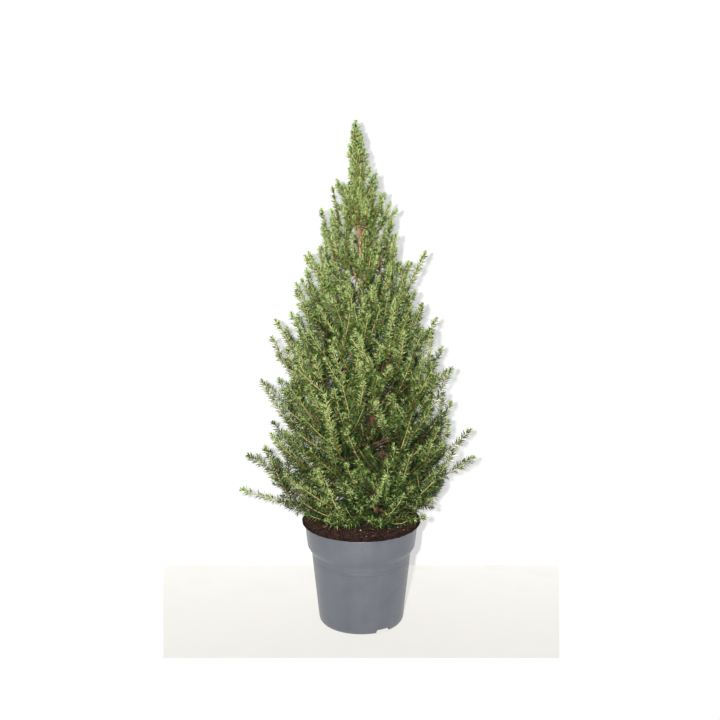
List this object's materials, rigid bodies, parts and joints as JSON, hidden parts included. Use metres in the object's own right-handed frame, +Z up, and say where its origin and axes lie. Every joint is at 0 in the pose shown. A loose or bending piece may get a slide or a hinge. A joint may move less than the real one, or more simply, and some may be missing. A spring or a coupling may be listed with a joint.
{
  "type": "potted dwarf spruce",
  "caption": "Narrow conical dwarf spruce with rising needle-covered shoots and a slim leader, in a tapered plastic nursery pot filled with heaped soil.",
  "frame": {"origin": "middle of the flat pad in the pot's underside, on the surface that the pot stands on", "axes": "+Z up through the pot and the crown, front towards -Y, +X to the right seen from the front"},
  "size_m": [0.391, 0.358, 0.858],
  "materials": {
    "pot": "satin injection-moulded polypropylene, blue grey",
    "soil": "moist peat compost with bark fibres",
    "bark": "thin scaly bark, brown to orange tan",
    "needles": "waxy short needles, mid green with paler tips"
  },
  "bodies": {
    "root": {"pot": "pot", "soil": "soil", "trunk": "bark", "bough_tier1_1": "bark", "foliage_tier1_1": "needles", "bough_tier1_2": "bark", "foliage_tier1_2": "needles", "bough_tier1_3": "bark", "foliage_tier1_3": "needles", "bough_tier1_4": "bark", "foliage_tier1_4": "needles", "bough_tier1_5": "bark", "foliage_tier1_5": "needles", "bough_tier1_6": "bark", "foliage_tier1_6": "needles", "bough_tier2_1": "bark", "foliage_tier2_1": "needles", "bough_tier2_2": "bark", "foliage_tier2_2": "needles", "bough_tier2_3": "bark", "foliage_tier2_3": "needles", "bough_tier2_4": "bark", "foliage_tier2_4": "needles", "bough_tier2_5": "bark", "foliage_tier2_5": "needles", "bough_tier2_6": "bark", "foliage_tier2_6": "needles", "bough_tier3_1": "bark", "foliage_tier3_1": "needles", "bough_tier3_2": "bark", "foliage_tier3_2": "needles", "bough_tier3_3": "bark", "foliage_tier3_3": "needles", "bough_tier3_4": "bark", "foliage_tier3_4": "needles", "bough_tier3_5": "bark", "foliage_tier3_5": "needles", "foliage_tier4_1": "needles", "foliage_tier4_2": "needles", "foliage_tier4_3": "needles", "foliage_tier4_4": "needles", "foliage_tier4_5": "needles", "foliage_tier5_1": "needles", "foliage_tier5_2": "needles", "foliage_tier5_3": "needles", "foliage_tier5_4": "needles", "foliage_tier6_1": "needles", "foliage_tier6_2": "needles", "foliage_tier6_3": "needles", "foliage_tier7_1": "needles", "foliage_tier7_2": "needles", "foliage_tier7_3": "needles", "foliage_tier8_1": "needles", "foliage_tier8_2": "needles", "foliage_tier8_3": "needles", "foliage_tier9_1": "needles", "foliage_tier9_2": "needles", "foliage_tier9_3": "needles", "foliage_leader": "needles"}
  },
  "joints": []
}
